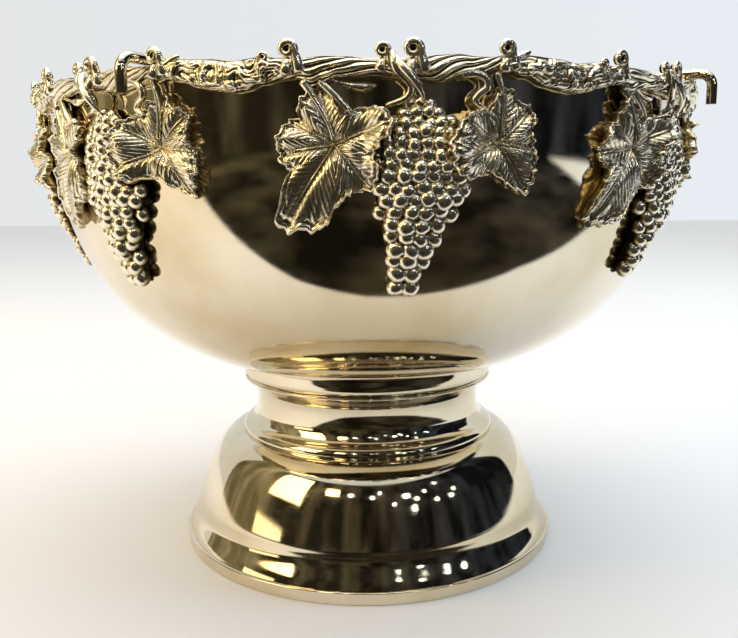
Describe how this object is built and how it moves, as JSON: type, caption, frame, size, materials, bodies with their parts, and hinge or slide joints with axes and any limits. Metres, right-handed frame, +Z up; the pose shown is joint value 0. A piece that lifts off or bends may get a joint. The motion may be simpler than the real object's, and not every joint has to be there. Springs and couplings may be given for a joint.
{
  "type": "champagne bowl on foot",
  "caption": "Footed silver-plated champagne and punch bowl with a cast grapevine border, grape bunches and leaves, and a lift-out rod rack that keeps bottles apart.",
  "frame": {"origin": "centre of the foot's underside, on the surface it stands on", "axes": "+Z up along the axis of the bowl, -Y towards the front, +X to the right"},
  "size_m": [0.3902, 0.3902, 0.2783],
  "materials": {
    "silver_plate": "polished silver plate, faintly warm with age",
    "cast_plate": "silver-plated casting, bright on its high points and dark with oxide in its recesses",
    "rod_plate": "polished silver-plated rod",
    "bare_brass": "dull unplated brass",
    "plain_steel": "plain steel"
  },
  "bodies": {
    "vessel": {"bowl": "silver_plate", "rim_wire": "silver_plate", "foot_shell": "silver_plate", "foot_ring": "silver_plate", "neck_bead": "silver_plate", "stud_disc": "bare_brass", "foot_stud": "bare_brass", "tie_disc": "bare_brass", "lock_washer": "plain_steel", "hex_nut": "bare_brass", "vine_border_1": "cast_plate", "vine_border_2": "cast_plate", "vine_border_3": "cast_plate", "vine_border_4": "cast_plate", "vine_border_5": "cast_plate", "vine_border_6": "cast_plate", "vine_border_7": "cast_plate", "vine_border_8": "cast_plate", "grape_bunch_1": "cast_plate", "grape_bunch_2": "cast_plate", "grape_bunch_3": "cast_plate", "grape_bunch_4": "cast_plate", "grape_bunch_5": "cast_plate", "grape_bunch_6": "cast_plate", "grape_bunch_7": "cast_plate", "grape_bunch_8": "cast_plate", "leaf_left_1": "cast_plate", "leaf_left_2": "cast_plate", "leaf_left_3": "cast_plate", "leaf_left_4": "cast_plate", "leaf_left_5": "cast_plate", "leaf_left_6": "cast_plate", "leaf_left_7": "cast_plate", "leaf_left_8": "cast_plate", "leaf_right_1": "cast_plate", "leaf_right_2": "cast_plate", "leaf_right_3": "cast_plate", "leaf_right_4": "cast_plate", "leaf_right_5": "cast_plate", "leaf_right_6": "cast_plate", "leaf_right_7": "cast_plate", "leaf_right_8": "cast_plate", "bunch_stem_1": "cast_plate", "bunch_stem_2": "cast_plate", "bunch_stem_3": "cast_plate", "bunch_stem_4": "cast_plate", "bunch_stem_5": "cast_plate", "bunch_stem_6": "cast_plate", "bunch_stem_7": "cast_plate", "bunch_stem_8": "cast_plate"},
    "bottle_rack": {"rack_rod_lower": "rod_plate", "rack_rod_upper": "rod_plate", "rack_boss": "rod_plate"}
  },
  "joints": [
    {"name": "rack_lift", "type": "slide", "parent": "vessel", "child": "bottle_rack", "axis": [0, 0, 1], "range_m": [0, 0.12]}
  ]
}
